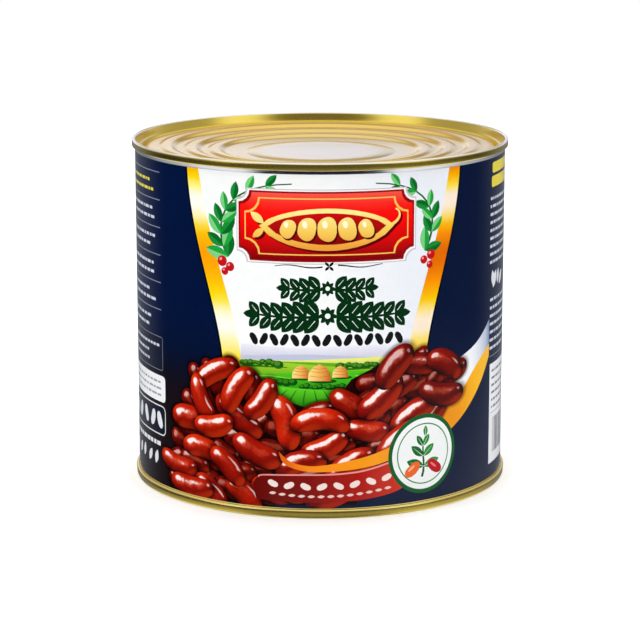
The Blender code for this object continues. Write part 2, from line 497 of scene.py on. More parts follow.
def draw_ornaments(sheet):
    """A fine rule, two leafy garlands and a row of small beans."""
    line = [(x, 102.2 + 0.5 * math.sin(x / 3.1)) for x in range(-20, 24)]
    lay(sheet, ribbon(line[:20], 0.3, 0.6), CHARCOAL)
    lay(sheet, ribbon(line[25:], 0.6, 0.3), CHARCOAL)
    for angle in (0, 90, 180, 270):
        lay(sheet, leaf((1.6, 102.2), math.radians(angle + 45), 2.4, 1.1), CHARCOAL)
    draw_garland(sheet, (1.0, 93.4), 16.0, 4, 6.8, DARK_GREEN)
    draw_garland(sheet, (1.0, 82.4), 28.5, 6, 8.4, DARK_GREEN)
    for index in range(15):
        x = -28.6 + 4.2 * index
        small = bean((x, 72.6), 5.2, 2.7, 62 if index % 2 else -62, 0.5 if index % 2 else -0.5)
        lay(sheet, bean_outline(small, 1.0, 18), CHARCOAL)


# The heap: its edge, and how far apart the beans lie in it
HEAP_EDGE = [
    (-78, 1), (-76, 14), (-70, 28), (-67, 42), (-60, 56), (-50, 65), (-40, 65), (-30, 58),
    (-20, 52), (-8, 48), (4, 50), (12, 61), (24, 67), (40, 67.5), (55, 66), (64, 60), (63, 50),
    (57, 41), (50, 34), (40, 27), (28, 20), (20, 10), (14, 1),
]
HERO_SPACING = 10.6
FILLER_SPACING = 8.0
EDGE_ROOM = 6.0


def edge_distance(place, outline):
    """How far a place lies inside an outline, or a negative number outside it."""
    inside = False
    nearest = 1e9
    for (ax, ay), (bx, by) in zip(outline, outline[1:] + outline[:1]):
        if (ay > place[1]) != (by > place[1]):
            if place[0] < (bx - ax) * (place[1] - ay) / (by - ay) + ax:
                inside = not inside
        edge = Vector((bx - ax, by - ay))
        offset = Vector((place[0] - ax, place[1] - ay))
        share = min(max(offset.dot(edge) / edge.length_squared, 0.0), 1.0)
        nearest = min(nearest, (offset - edge * share).length)
    return nearest if inside else -nearest


def scatter(rng, spacing, room, tries):
    """Places in the heap, no two nearer than spacing, kept that far in from its edge."""
    places = []
    for _ in range(tries):
        place = (rng.uniform(-80, 72), rng.uniform(1, 68))
        if edge_distance(place, HEAP_EDGE) < room:
            continue
        if all(math.dist(place, other) >= spacing for other in places):
            places.append(place)
    return places


def heap_angle(place, rng):
    """The beans lean down into the bowl from both sides, and lie flatter near the foot."""
    if place[0] < -14:
        lean = -52 if place[1] > 38 else -20
    else:
        lean = 12 if place[0] < 20 else 30
    if rng.random() < 0.22:
        lean = -lean * 0.8
    return lean + rng.uniform(-24, 24)


def heap_beans(rng):
    """Dark beans deep in the heap first, then the bright ones that lie on it. Those at the upper
    right are deeper in colour."""
    beans = []
    for place in scatter(rng, FILLER_SPACING, EDGE_ROOM * 0.85, 2600):
        beans.append(bean(place, rng.uniform(14, 18), rng.uniform(8.0, 9.6), heap_angle(place, rng),
                          rng.choice((-1, 1)) * rng.uniform(0.2, 0.5), rng.uniform(0.50, 0.68),
                          rng.uniform(0.2, 0.6)))
    heroes = scatter(rng, HERO_SPACING, EDGE_ROOM, 5200)
    heroes.sort(key=lambda place: -abs(place[0]) * 0.2 + rng.uniform(-16, 16))
    for place in heroes:
        far_right = min(max((place[0] + place[1] - 50) / 40, 0.0), 1.0)
        beans.append(bean(place, rng.uniform(18.5, 26), rng.uniform(9.0, 11.2), heap_angle(place, rng),
                          rng.choice((-1, 1)) * rng.uniform(0.25, 0.85),
                          rng.uniform(0.86, 1.08) - 0.31 * far_right,
                          rng.uniform(0.3, 1.0) - 0.3 * far_right))
    return beans


def draw_heap(sheet, rng):
    """The bowl's white and gold sweep at the right, the heap of beans and the bowl's rim."""
    white_top = smooth_line([(36, 57), (46, 60), (57, 59.3), (65.8, 61.6), (74.8, 65.4), (84.4, 72.0)])
    shared = smooth_line([(84.4, 61.6), (77.6, 58.2), (70.3, 53.0), (63, 46.8), (50, 38), (36, 30)])
    gold_low = smooth_line([(30, 22), (45, 26.5), (57.6, 32.0), (67.4, 38.6), (76.7, 47.1), (84.4, 56.6)])
    lay(sheet, white_top + shared,
        graded([(70, ink(243, 246, 252)), (80, ink(196, 206, 226)), (84.4, ink(120, 138, 176))], 0))
    lay(sheet, gold_low + shared, graded([(30, ink(238, 132, 22)), (60, ink(236, 150, 20)),
                                          (74, ink(252, 186, 30)), (84, ink(250, 190, 60))], 0))
    deep = [(-4 + (x + 4) * 0.9, max(PRINT_LOW, 30 + (y - 30) * 0.86)) for x, y in HEAP_EDGE]
    lay(sheet, deep, ink(34, 3, 4))
    for item in heap_beans(rng):
        lay_bean(sheet, item)
    rim_high = smooth_line([(-18.6, 27.0), (-14, 23.2), (-8, 21.6), (-2, 21.6), (10, 23.4), (20.2, 25.8),
                            (34, 30.5)])
    rim_low = smooth_line([(34, 24.5), (26.6, 22.6), (20.2, 21.0), (10, 19.6), (-2, 19.0), (-9, 19.4),
                           (-15, 21.2), (-17.6, 23.6)])
    lay(sheet, rim_high + rim_low, graded([(-18, ink(222, 92, 14)), (-6, ink(250, 140, 24)),
                                           (20, ink(246, 158, 26)), (34, ink(240, 142, 24))], 0))


def draw_banner(sheet):
    """A red band with a pale upper edge, a row of small pale beans on it."""
    top = smooth_line([(-29.5, 13.0), (-25.5, 16.8), (-10, 17.4), (6, 17.8), (18.1, 19.2), (34, 23.4)])
    low = smooth_line([(36, 13.0), (30, 9.6), (20, 7.6), (6, 6.6), (-10, 6.4), (-28, 6.8)])
    red = graded([(-30, ink(98, 10, 6)), (-6, ink(126, 12, 8)), (14, ink(172, 26, 18)),
                  (34, ink(206, 52, 34))], 0)
    lay(sheet, top + low, red)
    lay(sheet, ribbon(smooth_line([(-27.0, 16.0), (-25, 17.0), (-10, 17.7), (6, 18.1), (18.1, 19.5),
                                   (34, 23.8)]), 0.5, 0.8), ink(232, 150, 142))
    for index in range(8):
        x = -21.0 + 6.6 * index
        y = 12.0 + 0.0032 * (x + 4) ** 2
        small = bean((x, y + 0.8), 4.4, 2.5, 24 if index % 2 else -24, 0.4)
        lay(sheet, bean_outline(small, 1.0, 16), ink(244, 226, 220))
    for index in range(13):
        x = -22.6 + 3.9 * index
        lay(sheet, leaf((x, 8.7 + 0.0030 * (x + 4) ** 2), math.radians(4), 3.0, 1.2), ink(236, 206, 198))


def draw_badge(sheet):
    """A round badge: a white disc in a green ring, with a twig and two beans."""
    middle = (42.2, 23.4)
    for radius, colour in ((16.4, ink(14, 92, 40)), (14.7, ink(242, 246, 247)),
                           (12.6, ink(46, 128, 58)), (12.1, ink(242, 246, 247))):
        lay(sheet, ellipse(middle, radius, radius, count=56), colour)
    stem = bezier((middle[0] - 1.0, middle[1] - 9.6), (middle[0] + 1.4, middle[1] - 4),
                  (middle[0] - 2.4, middle[1] + 2), (middle[0] + 0.6, middle[1] + 7), 8)
    lay(sheet, ribbon(stem, 1.1, 0.6), ink(14, 92, 40))
    for foot, angle, size in ((2, 160, 8.6), (2, 18, 8.0), (4, 140, 7.4), (4, 42, 7.0), (6, 122, 5.6),
                              (6, 58, 5.6), (8, 90, 4.6)):
        dark = angle > 90
        lay(sheet, leaf(stem[foot], math.radians(angle), size, size * 0.46),
            ink(14, 104, 42) if dark else ink(40, 140, 58))
        lay(sheet, ribbon([stem[foot], place_at(stem[foot], math.radians(angle), size * 0.8, 0.0)],
                          0.3, 0.1), ink(200, 226, 204))
    for x, y, turn, colour, light in ((-5.4, -6.2, 38, ink(236, 104, 40), ink(252, 176, 130)),
                                      (5.2, -6.0, -38, ink(184, 16, 32), ink(236, 110, 120))):
        shape = bean((middle[0] + x, middle[1] + y), 8.0, 4.5, turn, 0.5)
        lay(sheet, bean_outline(shape, 1.0, 20), colour)
        lay(sheet, ellipse((middle[0] + x - 0.6, middle[1] + y + 0.7), 1.9, 0.5, math.radians(turn), 12),
            light)


def draw_dashes(sheet, rng, left, right, height, thickness, colour):
    """One row of short dashes of uneven length."""
    x = left
    while x < right - 1.5:
        length = min(rng.uniform(1.2, 4.6), right - x)
        lay(sheet, rectangle(x, x + length, height - thickness / 2, height + thickness / 2), colour)
        x += length + rng.uniform(0.7, 1.1)


def draw_frame(sheet, left, right, low, high, radius, line, colour, inside):
    """A rounded frame of one line round another colour."""
    lay(sheet, rounded_rectangle(left, right, low, high, radius), colour)
    lay(sheet, rounded_rectangle(left + line, right - line, low + line, high - line,
                                 radius - line), inside)


def draw_left_column(sheet, rng):
    """Rows of plain dashes between thin rules, and two boxes, left of the front."""
    left, right = -117.0, -78.4
    for index in range(6):
        rule = 134.0 - 11.3 * index
        lay(sheet, rectangle(left, right, rule - 0.2, rule + 0.2), RULE_GREY)
        colour = YELLOW_INK if index == 0 else DASH_INK
        for drop in (3.9, 7.6):
            draw_dashes(sheet, rng, left, right - rng.uniform(2, 12), rule - drop, 1.2, colour)
    draw_frame(sheet, left, right + 0.8, 52.0, 66.2, 1.2, 0.25, RULE_GREY, ink(18, 24, 46))
    for height in (62.4, 58.9, 55.4):
        draw_dashes(sheet, rng, left + 2, right - rng.uniform(2, 12), height, 1.1, DASH_INK)
    lay(sheet, rounded_rectangle(left, right + 2.4, 38.8, 49.8, 1.8), ink(240, 241, 245))
    for height in (47.0, 44.3, 41.6):
        draw_dashes(sheet, rng, left + 2, right - 1, height, 0.9, ink(150, 152, 160))
    draw_frame(sheet, left, right + 2.4, 24.6, 37.2, 2.6, 0.5, PALE_INK, ink(16, 20, 38))
    for index, x in enumerate((6, 14, 22, 30, 36)):
        small = bean((left + x, 30.9), 7.4, 3.9, 68 if index % 2 else 112, 0.5 if index % 2 else -0.5)
        lay(sheet, bean_outline(small, 1.0, 18), PALE_INK)
    draw_dashes(sheet, rng, left, right, 20.8, 1.8, PALE_INK)
    for index, x in enumerate((5, 12, 19, 26, 33)):
        lay(sheet, leaf((left + x - 1.2, 11.6), math.radians(58 if index % 2 else 72), 6.4, 3.2), PALE_INK)


def draw_right_column(sheet, rng):
    """A yellow tag, rows of plain dashes and a white box with stripes, right of the front."""
    left, right = 85.0, 117.0
    lay(sheet, rounded_rectangle(left + 0.6, right - 8, 132.2, 136.6, 1.2), YELLOW_INK)
    lay(sheet, rounded_rectangle(left, right - 3, 126.4, 131.0, 1.2), YELLOW_INK)
    for index in range(9):
        draw_dashes(sheet, rng, left - 0.8, right - rng.uniform(0, 9), 121.8 - 3.3 * index, 1.2,
                    DASH_INK)
    for x, y, size, angle in ((left + 3, 84.4, 8.0, 60), (left + 4, 84.6, 7.6, 105),
                              (left + 9, 85.2, 6.6, 78), (left + 12, 84.4, 7.4, 50)):
        lay(sheet, leaf((x, y), math.radians(angle), size, size * 0.5), PALE_INK)
    for index in range(7):
        draw_dashes(sheet, rng, left, right - rng.uniform(0, 9), 79.6 - 3.4 * index, 1.2, DASH_INK)
    lay(sheet, rectangle(left, right, 55.6, 55.9), RULE_GREY)
    lay(sheet, rectangle(left + 0.6, right + 1, 9.8, 52.4), ink(240, 241, 246))
    for index in range(6):
        draw_dashes(sheet, rng, left + 3, right - 2, 49.2 - 3.1 * index, 1.0, ink(120, 122, 130))
    lay(sheet, rectangle(left + 2.5, right - 1, 31.2, 31.5), ink(150, 152, 160))
    x = left + 5.0
    while x < right - 3.0:
        width = rng.choice((0.35, 0.6, 0.9))
        lay(sheet, rectangle(x, x + width, 14.0, 29.0), ink(40, 42, 50))
        x += width + rng.choice((0.45, 0.7, 1.0))


def draw_sheet():
    """Everything printed on half of the tin, from the bottom layer up."""
    rng = random.Random(7)
    sheet = []
    lay(sheet, rectangle(-HALF_TURN / 2, HALF_TURN / 2, PRINT_LOW, PRINT_HIGH), NAVY)
    lay(sheet, rectangle(-HALF_TURN / 2, -20, PRINT_LOW, PRINT_HIGH),
        graded([(32, ink(25, 15, 19)), (45, ink(21, 14, 22)), (54, ink(12, 14, 32)), (64, ink(3, 17, 50)),
                (78, ink(2, 18, 57)), (PRINT_HIGH, ink(2, 20, 60))], 1))
    draw_front_panel(sheet)
    draw_fields(sheet, rng)
    draw_sprays(sheet, rng)
    draw_plaque(sheet)
    draw_ornaments(sheet)
    draw_heap(sheet, rng)
    draw_banner(sheet)
    draw_badge(sheet)
    draw_left_column(sheet, rng)
    draw_right_column(sheet, rng)
    return sheet


# Cutting the sheet into one layer of faces

def signed_area(outline):
    pairs = zip(outline, outline[1:] + outline[:1])
    return sum(ax * by - bx * ay for (ax, ay), (bx, by) in pairs) / 2


def cut_sheet(sheet):
    """The sheet's corners, and its triangles, each with the shape that shows there and the
    beans whose shade falls on it."""
    points, faces = [], []
    for shape in sheet:
        outline = shape["outline"] if signed_area(shape["outline"]) > 0 else shape["outline"][::-1]
        start = len(points)
        points += [Vector(point) for point in outline]
        faces.append(list(range(start, len(points))))
    edges = []
    folds = [-HALF_TURN / 2 + FOLD * index for index in range(FOLDS + 1)]
    folds += [-HALF_TURN / 2 + WELD_MARGIN, HALF_TURN / 2 - WELD_MARGIN]
    lines = [((x, PRINT_LOW), (x, PRINT_HIGH)) for x in folds]
    for row in range(1, ROWS):
        height = PRINT_LOW + (PRINT_HIGH - PRINT_LOW) * row / ROWS
        lines.append(((-HALF_TURN / 2, height), (HALF_TURN / 2, height)))
    for line in lines:
        edges.append((len(points), len(points) + 1))
        points += [Vector(end) for end in line]
    corners, _, triangles, _, _, owners = delaunay_2d_cdt(points, edges, faces, 1, 1e-4, True)
    cells = []
    for triangle, under in zip(triangles, owners):
        if 0 not in under:
            continue
        top = max(index for index in under if not sheet[index]["halo"])
        middle = sum((corners[index] for index in triangle), Vector((0, 0))) / 3
        shades = []
        if sheet[top]["colour"] is None or top > 0:
            for index in under:
                if index > top and sheet[index]["halo"]:
                    shades.append((bean_reach(sheet[index]["bean"], middle), index))
        shades.sort()
        cells.append((triangle, top, [index for _, index in shades[:2]]))
    return corners, cells


# Wrapping the sheet round the tin

def round_the_tin(place, turn, radius):
    """A place on the flat sheet, in metres on a cylinder round +Z."""
    angle = turn + place[0] / WALL_RADIUS
    return Vector((radius * math.sin(angle) * MM, -radius * math.cos(angle) * MM, place[1] * MM))


def corner_values(cell, place, sheet):
    """What the paint of one corner needs: ink, bean place, bean turn and two shades."""
    _, top, shades = cell
    shape = sheet[top]
    item = shape["bean"]
    if item is None:
        colour = shape["colour"](place) if callable(shape["colour"]) else shape["colour"]
        bean_place, bean_turn = NO_BEAN, (0.0, 1.0, 0.5)
    else:
        colour = ink(200, 40, 10)
        bean_place = on_bean(item, place)
        bean_turn = (item["angle"], item["tone"], item["warmth"])
    halos = [NO_BEAN, NO_BEAN]
    for slot, index in enumerate(shades):
        halos[slot] = on_bean(sheet[index]["bean"], place)
    return (*colour, 1.0), bean_place, halos[0], halos[1], bean_turn


def printed_piece(name, corners, cells, sheet, turn, materials):
    """One printed part of the wall, a thin layer with its edges turned in to the steel."""
    shape = bmesh.new()
    uv = shape.loops.layers.uv.new("OFBake")
    colours = shape.loops.layers.float_color.new("ink")
    layers = [shape.loops.layers.float_color.new(word)
              for word in ("bean_place", "shade_one", "shade_two")]
    layers.append(shape.loops.layers.float_vector.new("bean_turn"))
    made = {}
    for cell in cells:
        triangle, top, _ = cell
        for index in triangle:
            if index not in made:
                made[index] = shape.verts.new(round_the_tin(corners[index], turn,
                                                            WALL_RADIUS + PRINT_PROUD))
        face = shape.faces.new([made[index] for index in triangle])
        face.material_index = 0 if sheet[top]["bean"] is None else 1
        face.smooth = True
        for loop, index in zip(face.loops, triangle):
            values = corner_values(cell, corners[index], sheet)
            loop[colours] = values[0]
            for layer, value in zip(layers, values[1:]):
                loop[layer] = value
            loop[uv].uv = ((corners[index][0] + HALF_TURN / 2) / HALF_TURN,
                           corners[index][1] / HALF_TURN)
    rim = [edge for edge in shape.edges if edge.is_boundary]
    turned_in = bmesh.ops.extrude_edge_only(shape, edges=rim)["geom"]
    inner = (WALL_RADIUS - PRINT_PROUD * 2) * MM
    for part in turned_in:
        if isinstance(part, bmesh.types.BMVert):
            outward = Vector((part.co.x, part.co.y, 0.0)).normalized()
            part.co = Vector((outward.x * inner, outward.y * inner, part.co.z))
        elif isinstance(part, bmesh.types.BMFace):
            part.smooth = False
            part.material_index = 0
            part.normal_update()
    shape.normal_update()
    mesh = bpy.data.meshes.new(name)
    shape.to_mesh(mesh)
    shape.free()
    normals = []
    for polygon in mesh.polygons:
        for index in polygon.vertices:
            at = mesh.vertices[index].co
            radial = Vector((at.x, at.y, 0.0)).normalized()
            normals.append(radial if polygon.use_smooth else Vector((0.0, 0.0, 0.0)))
    mesh.normals_split_custom_set(normals)
    for material in materials:
        mesh.materials.append(material)
    return add_piece(name, mesh, "can_body")


def add_piece(name, mesh, node):
    """A finished piece of the tin that stands for a solid of the frame."""
    piece = bpy.data.objects.new(name, mesh)
    bpy.context.collection.objects.link(piece)
    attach(piece, "root")
    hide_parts(node)
    return piece


# Turned pieces

def turned_piece(name, profile, steps, material, node, sharp=50.0):
    """A closed solid turned from (radius, height) points in millimetres that start and end on
    the axis."""
    shape = bmesh.new()
    verts = [shape.verts.new((radius * MM, 0.0, height * MM)) for radius, height in profile]
    edges = [shape.edges.new(pair) for pair in zip(verts, verts[1:])]
    bmesh.ops.spin(shape, geom=verts + edges, cent=(0.0, 0.0, 0.0), axis=(0.0, 0.0, 1.0),
                   angle=TAU, steps=steps, use_merge=True)
    bmesh.ops.remove_doubles(shape, verts=shape.verts[:], dist=1e-7)
    bmesh.ops.recalc_face_normals(shape, faces=shape.faces[:])
    mesh = bpy.data.meshes.new(name)
    shape.to_mesh(mesh)
    shape.free()
    mesh.shade_smooth()
    mesh.set_sharp_from_angle(angle=math.radians(sharp))
    mesh.materials.append(material)
    return add_piece(name, mesh, node)


def ramp_down(distance, crest, foot):
    """1 on the crest, 0 beyond the foot, a smooth slope between."""
    share = min(max((distance - crest) / (foot - crest), 0.0), 1.0)
    return 0.5 + 0.5 * math.cos(math.pi * share)


def panel_depth(radius):
    """Depth of the dished panel below the rim, with its raised rings and middle."""
    depth = PANEL_DEPTH + PANEL_DISH * (1.0 - (radius / PANEL_RADIUS) ** 2)
    for ring in RING_RADII:
        depth -= RING_HEIGHT * ramp_down(abs(radius - ring), 1.2, 4.2)
    return depth - MIDDLE_HEIGHT * ramp_down(radius, 28.2, 31.8)


def end_profile(taper, hem_level, hem_round):
    """One end as (radius, depth): the panel, countersink, chuck wall, seam and the hidden side.
    The seam's outer face draws in by taper toward its crest, and its hem ends in a round edge."""
    panel = [(0.0, panel_depth(0.0))]
    radius = 6.0
    while radius < 70.2:
        panel.append((radius, panel_depth(radius)))
        radius += 6.0 if radius < 28 else 0.6
    edge = [(70.6, panel_depth(70.6)), (71.4, 3.38), (72.2, 3.66), (73.0, 4.32), (73.7, 4.86),
            (COUNTERSINK_RADIUS, COUNTERSINK_DEPTH), (75.2, 4.90), (75.9, 4.60), (76.35, 4.1),
            (76.55, 3.5), (76.72, 2.6), (76.88, 1.5)]
    middle = SEAM_RADIUS - SEAM_THICKNESS / 2
    crest = []
    for step in range(9):
        turn = math.pi * (1 - step / 8)
        crest.append((middle + (SEAM_THICKNESS / 2 - taper * step / 8) * math.cos(turn),
                      0.72 - 0.72 * math.sin(turn)))
    hem = [(SEAM_RADIUS - taper * 0.55, 1.5)]
    for step in range(6):
        turn = math.pi / 2 * step / 5
        hem.append((SEAM_RADIUS - hem_round * (1 - math.cos(turn)),
                    hem_level - hem_round * (1 - math.sin(turn))))
    hidden = [(76.98, SEAM_HEIGHT), (76.80, 3.8), (76.3, 4.75), (75.4, 5.16),
              (COUNTERSINK_RADIUS, 5.3), (73.4, 5.1), (72.2, 4.3), (70.6, panel_depth(70.6) + SHEET)]
    for radius in range(69, 0, -3):
        hidden.append((radius, panel_depth(radius) + SHEET))
    return panel + edge + crest + hem + hidden + [(0.0, panel_depth(0.0) + SHEET)]


def wall_profile():
    """The tinplate wall, filled, from inside the bottom seam to inside the top one. Its upper edge
    flares out into the seam."""
    under_end = [(0.0, 8.3), (43.7, 6.7), (60.0, 5.75), (COUNTERSINK_RADIUS, 5.62), (76.0, 5.4),
                 (76.7, 4.7), (76.95, 3.8), (77.05, 3.26)]
    straight = [(WALL_RADIUS - 0.06, 3.26)]
    flare = [(WALL_RADIUS + 0.30, 3.26), (WALL_RADIUS + 0.12, 4.0), (WALL_RADIUS - 0.04, 4.62),
             (WALL_RADIUS - 0.06, 4.8)]
    upper = [(radius, CAN_HEIGHT - depth) for radius, depth in (under_end + flare)[::-1]]
    return under_end + straight + upper


def side_weld(material):
    """The welded lap that runs up the bare margin between the two printed halves."""
    middle = FRONT_ANGLE + math.pi / 2
    section = [(-0.9, -0.10), (-0.55, 0.05), (0.0, 0.09), (0.55, 0.05), (0.9, -0.10)]
    shape = bmesh.new()
    rows = []
    for height in [3.4 + (CAN_HEIGHT - 6.8) * step / 60 for step in range(61)]:
        row = []
        for across, proud in section:
            angle = middle + across / WALL_RADIUS
            radius = (WALL_RADIUS + proud) * MM
            row.append(shape.verts.new((radius * math.sin(angle), -radius * math.cos(angle),
                                        height * MM)))
        rows.append(row)
    for low, high in zip(rows, rows[1:]):
        for index in range(len(section)):
            after = (index + 1) % len(section)
            shape.faces.new((low[index], low[after], high[after], high[index]))
    shape.faces.new(rows[0][::-1])
    shape.faces.new(rows[-1])
    bmesh.ops.recalc_face_normals(shape, faces=shape.faces[:])
    mesh = bpy.data.meshes.new("side_weld")
    shape.to_mesh(mesh)
    shape.free()
    mesh.shade_smooth()
    mesh.set_sharp_from_angle(angle=math.radians(50))
    mesh.materials.append(material)
    return add_piece("side_weld", mesh, "can_body")


# Finishes

class Paint:
    """A material and short ways to add and join its nodes."""

    def __init__(self, name):
        self.material = bpy.data.materials.new(name)
        self.material.use_nodes = True
        self.tree = self.material.node_tree
        self.shader = self.tree.nodes["Principled BSDF"]

    def plug(self, value, socket):
        if isinstance(value, bpy.types.NodeSocket):
            self.tree.links.new(value, socket)
        else:
            socket.default_value = value

    def math(self, operation, *values, clamp=False):
        node = self.tree.nodes.new("ShaderNodeMath")
        node.operation = operation
        node.use_clamp = clamp
        for value, socket in zip(values, node.inputs):
            self.plug(value, socket)
        return node.outputs[0]

    def far(self, *parts):
        """The length of a vector given by its parts."""
        total = 0.0
        for part in parts:
            total = self.math("ADD", total, self.math("MULTIPLY", part, part))
        return self.math("SQRT", total)

    def signed_power(self, value, power):
        return self.math("MULTIPLY", self.math("SIGN", value),
                         self.math("POWER", self.math("ABSOLUTE", value), power))

    def dot(self, parts, direction):
        """How squarely a vector, given by its parts, faces a fixed direction."""
        total = 0.0
        for part, share in zip(parts, direction):
            total = self.math("ADD", total, self.math("MULTIPLY", part, share))
        return total

    def spread(self, value, low, high, at_low, at_high, smooth=False):
        node = self.tree.nodes.new("ShaderNodeMapRange")
        node.interpolation_type = "SMOOTHSTEP" if smooth else "LINEAR"
        for entry, number in (("Value", value), ("From Min", low), ("From Max", high),
                              ("To Min", at_low), ("To Max", at_high)):
            self.plug(number, node.inputs[entry])
        return node.outputs["Result"]

    def attribute(self, name):
        node = self.tree.nodes.new("ShaderNodeAttribute")
        node.attribute_name = name
        return node

    def parts(self, vector):
        node = self.tree.nodes.new("ShaderNodeSeparateXYZ")
        self.plug(vector, node.inputs[0])
        return node.outputs[0], node.outputs[1], node.outputs[2]

    def place(self, stretch=(1.0, 1.0, 1.0)):
        coordinates = self.tree.nodes.new("ShaderNodeTexCoord")
        mapping = self.tree.nodes.new("ShaderNodeMapping")
        mapping.inputs["Scale"].default_value = stretch
        self.tree.links.new(coordinates.outputs["Object"], mapping.inputs["Vector"])
        return mapping.outputs[0]

    def noise(self, where, scale, detail=3.0, roughness=0.5):
        node = self.tree.nodes.new("ShaderNodeTexNoise")
        self.plug(where, node.inputs["Vector"])
        node.inputs["Scale"].default_value = scale
        node.inputs["Detail"].default_value = detail
        node.inputs["Roughness"].default_value = roughness
        return node.outputs["Fac"]

    def mix(self, share, first, second, blend="MIX"):
        node = self.tree.nodes.new("ShaderNodeMix")
        node.data_type = "RGBA"
        node.blend_type = blend
        for value, socket in ((share, node.inputs[0]), (first, node.inputs[6]), (second, node.inputs[7])):
            self.plug(value, socket)
        return node.outputs[2]

    def ramp(self, value, stops):
        node = self.tree.nodes.new("ShaderNodeValToRGB")
        self.plug(value, node.inputs[0])
        steps = node.color_ramp.elements
        while len(steps) < len(stops):
            steps.new(1.0)
        for step, (at, colour) in zip(steps, stops):
            step.position = at
            step.color = (*colour, 1.0)
        return node.outputs[0]

    def bump(self, height, strength, distance, under=None):
        node = self.tree.nodes.new("ShaderNodeBump")
        node.inputs["Strength"].default_value = strength
        node.inputs["Distance"].default_value = distance
        self.plug(height, node.inputs["Height"])
        if under is not None:
            self.plug(under, node.inputs["Normal"])
        return node.outputs[0]

    def set(self, **values):
        for name, value in values.items():
            self.plug(value, self.shader.inputs[name.replace("_", " ")])


def lacquer_coat(paint):
    """The clear varnish over the print: glossy, with a faint orange peel."""
    where = paint.place()
    peel = paint.noise(where, 900.0, 2.0)
    paint.set(Specular_IOR_Level=0.0, Coat_Weight=0.9, Coat_IOR=1.5, Roughness=0.6)
    paint.set(Coat_Roughness=paint.spread(paint.noise(where, 60.0, 3.0), 0.3, 0.7, 0.05, 0.09))
    bumped = paint.bump(peel, 0.05, 0.0001)
    paint.set(Normal=bumped, Coat_Normal=bumped)


def soft_shade(paint, colour):
    """Darken a colour where a bean lying over it shades it."""
    for word in ("shade_one", "shade_two"):
        along, across, _ = bean_axes(paint, word)
        reach = paint.math("POWER", paint.math(
            "ADD", paint.math("POWER", paint.math("ABSOLUTE", along), BEAN_ROUND_ALONG),
            paint.math("POWER", paint.math("ABSOLUTE", across), BEAN_ROUND_ACROSS)), 0.42)
        colour = paint.mix(1.0, colour,
                           paint.ramp(paint.spread(reach, 0.9, 1.32, 0.0, 1.0, smooth=True),
                                      [(0.0, (0.14, 0.09, 0.09)), (1.0, (1.0, 1.0, 1.0))]), "MULTIPLY")
    return colour


def bean_axes(paint, word):
    """How far along and across a bean a place lies, -1 to 1, and the turn of its arc there."""
    where = paint.attribute(word)
    x, y, bend = paint.parts(where.outputs["Vector"])
    side = paint.math("SIGN", bend)
    centre = paint.math("DIVIDE", 1.0, bend)
    depth = paint.math("SUBTRACT", centre, y)
    turn = paint.math("ARCTAN2", paint.math("MULTIPLY", x, side), paint.math("MULTIPLY", depth, side))
    across = paint.math("SUBTRACT", centre, paint.math("MULTIPLY", paint.far(x, depth), side))
    return (paint.math("DIVIDE", turn, bend),
            paint.math("DIVIDE", across, where.outputs["Alpha"]), turn)


def flat_inks():
    """Fields of printed ink, very slightly uneven, under varnish."""
    paint = Paint("printed_inks")
    where = paint.place()
    colour = soft_shade(paint, paint.attribute("ink").outputs["Color"])
    uneven = paint.ramp(paint.noise(where, 220.0, 4.0, 0.6),
                        [(0.3, (0.965, 0.965, 0.965)), (0.7, (1.0, 1.0, 1.0))])
    paint.set(Base_Color=paint.mix(1.0, colour, uneven, "MULTIPLY"))
    lacquer_coat(paint)
    return paint.material


# Where the drawn light comes from: how far right, up and out of the sheet
LIGHT_ON_BEANS = Vector((-0.42, 0.60, 0.68)).normalized()
MAIN_GLINT = (LIGHT_ON_BEANS + Vector((0, 0, 1))).normalized()
SIDE_GLINT = Vector((0.42, 0.34, 0.84)).normalized()
LOW_BOUNCE = Vector((0.50, -0.62, 0.60)).normalized()


